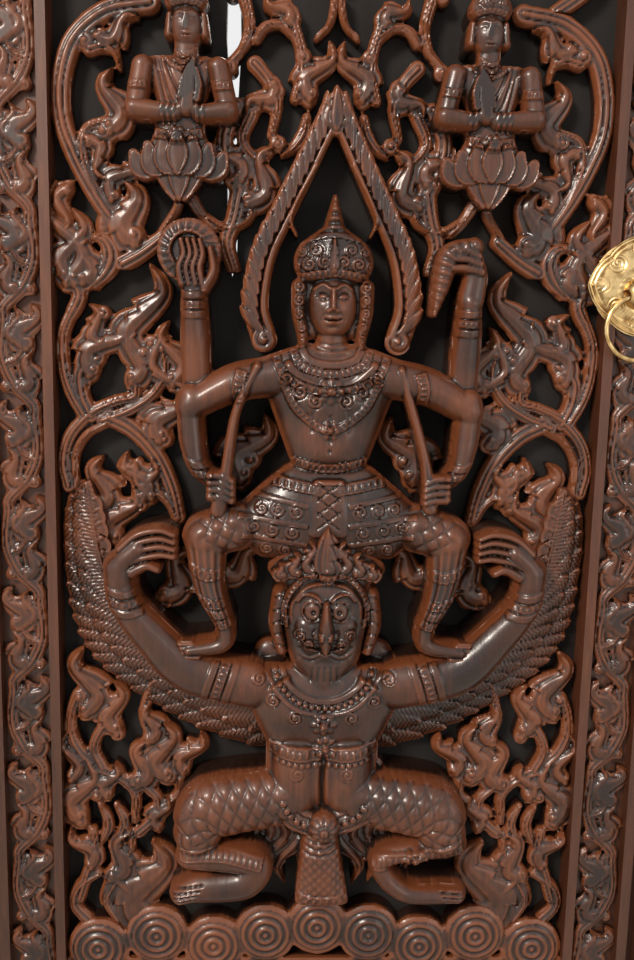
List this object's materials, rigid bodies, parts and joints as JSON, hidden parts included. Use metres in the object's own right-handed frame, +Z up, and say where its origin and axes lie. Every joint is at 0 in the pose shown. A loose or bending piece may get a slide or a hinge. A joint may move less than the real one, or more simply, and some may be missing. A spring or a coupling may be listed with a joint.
{
  "type": "carved temple door",
  "caption": "Carved wooden temple door leaf hung in its own frame, with a bird-winged bearer and rider in pierced scrollwork and a brass ring pull.",
  "frame": {"origin": "middle of the width on the underside of the threshold, 32 mm in front of the leaf's back face", "axes": "+X to the right seen from the carved side, +Y away from the viewer (the way the leaf opens), +Z up"},
  "size_m": [0.96, 0.1325, 1.96],
  "materials": {
    "frame_wood": "dark red-brown varnish, satin, worn along the edges",
    "leaf_wood": "dark red-brown varnish, satin",
    "board_wood": "nearly black, dull old stain",
    "border_wood": "red-brown varnish, worn pale on the high places",
    "scroll_wood": "orange-brown varnish, glossy on the ridges",
    "figure_wood": "dark brown varnish, glossy and rubbed",
    "hinge_iron": "dark oiled iron",
    "brass": "pale satin brass, dulled in the hollows"
  },
  "bodies": {
    "frame": {"frame_threshold": "frame_wood", "frame_head": "frame_wood", "frame_jamb_left": "frame_wood", "frame_jamb_right": "frame_wood", "frame_pegs": "frame_wood", "hinge_screws_frame": "hinge_iron", "hinge_frame_bottom": "hinge_iron", "hinge_frame_middle": "hinge_iron", "hinge_frame_top": "hinge_iron", "hinge_pin_bottom": "hinge_iron", "hinge_pin_middle": "hinge_iron", "hinge_pin_top": "hinge_iron"},
    "leaf": {"hinge_stile": "leaf_wood", "lock_stile": "leaf_wood", "top_rail": "leaf_wood", "bottom_rail": "leaf_wood", "rail_pegs": "leaf_wood", "inner_bead_left": "leaf_wood", "inner_bead_right": "leaf_wood", "outer_bead_left": "leaf_wood", "outer_bead_right": "leaf_wood", "panel_bead_bottom": "leaf_wood", "panel_bead_top": "leaf_wood", "backing_board_1": "board_wood", "backing_board_2": "board_wood", "backing_board_3": "board_wood", "backing_board_4": "board_wood", "back_ledge_bottom": "board_wood", "back_ledge_middle": "board_wood", "back_ledge_top": "board_wood", "border_carving_left": "border_wood", "border_carving_right": "border_wood", "scrollwork_lower_left": "scroll_wood", "scrollwork_lower_right": "scroll_wood", "scrollwork_middle_left": "scroll_wood", "scrollwork_middle_right": "scroll_wood", "scrollwork_upper_left": "scroll_wood", "scrollwork_upper_right": "scroll_wood", "scrollwork_crown_left": "scroll_wood", "scrollwork_crown_right": "scroll_wood", "cloud_base": "scroll_wood", "flame_arch": "scroll_wood", "wing_left": "figure_wood", "wing_right": "figure_wood", "guardian_figure": "figure_wood", "rider_figure": "figure_wood", "attendant_left": "figure_wood", "attendant_right": "figure_wood", "ledge_nails": "hinge_iron", "hinge_screws_leaf": "hinge_iron", "hinge_leaf_bottom": "hinge_iron", "hinge_leaf_middle": "hinge_iron", "hinge_leaf_top": "hinge_iron", "pull_bolt": "hinge_iron", "pull_washer": "hinge_iron", "pull_nut": "hinge_iron", "pull_plate": "brass", "pull_nails": "brass"},
    "ring": {"pull_ring": "brass"}
  },
  "joints": [
    {"name": "leaf_swing", "type": "hinge", "parent": "frame", "child": "leaf", "pos_m": [-0.4035, 0.039, 0.973], "axis": [0, 0, 1], "range_deg": [0, 105]},
    {"name": "ring_lift", "type": "hinge", "parent": "leaf", "child": "ring", "pos_m": [0.331, -0.038, 1.1485], "axis": [-1, 0, 0], "range_deg": [0, 100]}
  ]
}
